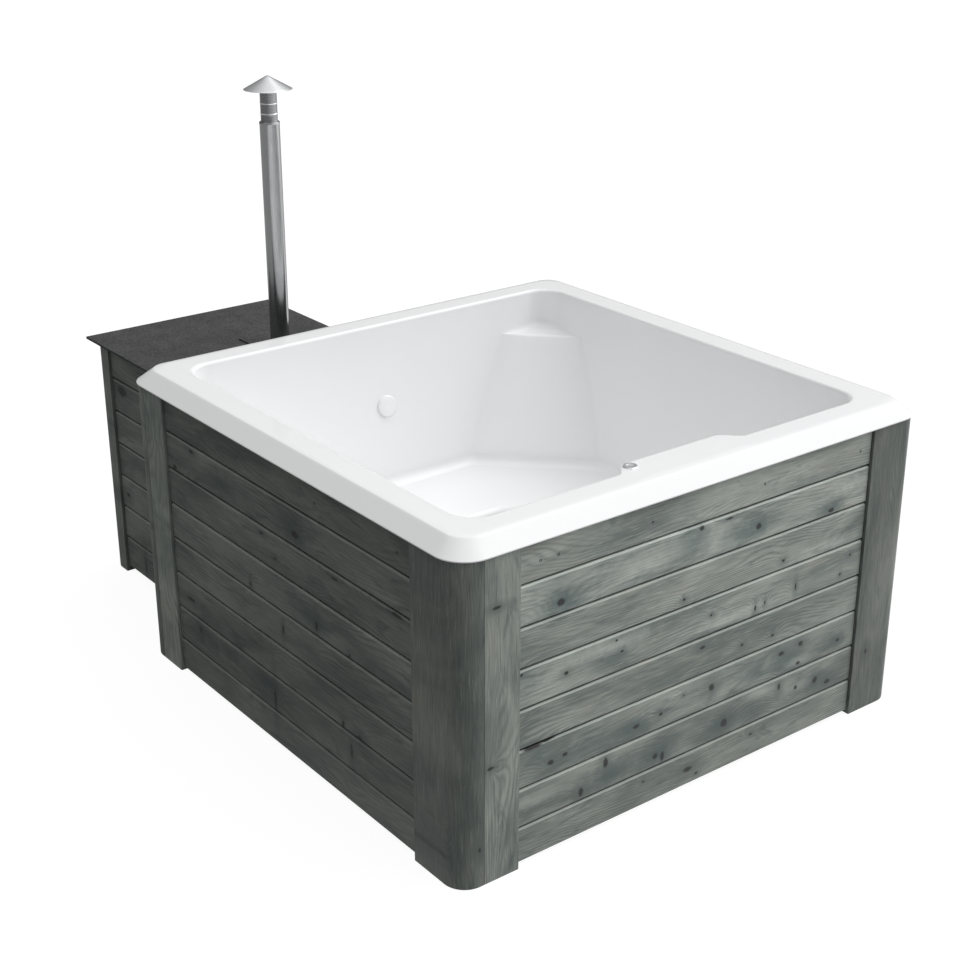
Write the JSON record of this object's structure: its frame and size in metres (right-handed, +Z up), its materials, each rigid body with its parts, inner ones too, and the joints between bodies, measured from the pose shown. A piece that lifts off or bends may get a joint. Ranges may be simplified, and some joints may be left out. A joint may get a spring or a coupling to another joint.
{
  "type": "hot tub",
  "caption": "Square wood-clad hot tub with a moulded white basin, corner backrest and console ledge, and a wood-fired heater with a tall flue in a cabinet behind it.",
  "frame": {"origin": "on the floor under the middle of the square tub", "axes": "+Z up, front of the tub with the console towards -Y, heater cabinet on the +Y side, +X to the right seen from the front"},
  "size_m": [1.738, 2.455, 1.801],
  "materials": {
    "acrylic": "glossy moulded white acrylic",
    "chrome": "bright chrome",
    "button_metal": "satin chrome",
    "grey_plastic": "matt grey",
    "steel": "polished stainless steel",
    "brass_valve": "plain brass",
    "red_paint": "red dipped lever",
    "frame_timber": "sawn softwood",
    "cladding": "grey green stained spruce",
    "slate_plate": "dark granular board",
    "black_iron": "matt black",
    "stove_steel": "heat resistant dark grey",
    "seal_rope": "woven glass rope",
    "hose_rubber": "black rubber"
  },
  "bodies": {
    "tub": {"basin": "acrylic", "button_ring": "chrome", "button_nut": "grey_plastic", "inlet_cover": "acrylic", "inlet_fitting": "grey_plastic", "outlet_grid": "steel", "outlet_fitting": "grey_plastic", "fitting_nuts": "grey_plastic", "drain_strainer": "steel", "drain_body": "grey_plastic", "drain_pipe": "grey_plastic", "drain_valve": "brass_valve", "base_ring": "frame_timber", "footwell_bearers": "frame_timber", "studs": "frame_timber", "top_rails": "frame_timber", "boards_front": "cladding", "boards_left": "cladding", "boards_right": "cladding", "boards_back": "cladding", "corner_posts": "cladding", "corner_side_boards": "cladding", "cabinet_frame": "frame_timber", "cabinet_boards_left": "cladding", "cabinet_boards_right": "cladding", "cabinet_boards_back": "cladding", "cabinet_post_left": "cladding", "cabinet_post_right": "cladding", "top_plate": "slate_plate", "flue_collar": "black_iron", "stove_shell": "stove_steel", "firebox": "stove_steel", "stove_feet": "stove_steel", "door_frame": "black_iron", "latch_keeper": "black_iron", "door_seal": "seal_rope", "hinge_pins": "steel", "grate": "black_iron", "warm_hose": "hose_rubber", "cold_hose": "hose_rubber", "hose_clamps": "steel", "lower_flue": "steel", "upper_flue": "steel", "rain_cap": "steel"},
    "button": {"push_button": "button_metal"},
    "door": {"stove_door": "black_iron"},
    "latch": {"door_latch": "steel"},
    "drawer": {"ash_drawer": "stove_steel"},
    "valve_lever": {"drain_valve_lever": "red_paint"}
  },
  "joints": [
    {"name": "button_press", "type": "slide", "parent": "tub", "child": "button", "axis": [0, 0, -1], "range_m": [0, 0.003], "stiffness_N_per_m": 400, "springref_m": -0.0005},
    {"name": "door_hinge", "type": "hinge", "parent": "tub", "child": "door", "pos_m": [-0.466, 1.562, 0.425], "axis": [0, 0, 1], "range_deg": [0, 110]},
    {"name": "latch_turn", "type": "hinge", "parent": "door", "child": "latch", "pos_m": [-0.124, 1.562, 0.425], "axis": [0, -1, 0], "range_deg": [0, 90]},
    {"name": "drawer_slide", "type": "slide", "parent": "tub", "child": "drawer", "axis": [0, 1, 0], "range_m": [0, 0.25]},
    {"name": "valve_turn", "type": "hinge", "parent": "tub", "child": "valve_lever", "pos_m": [0.125, 0.895, 0.125], "axis": [0, 0, 1], "range_deg": [0, 90]}
  ]
}
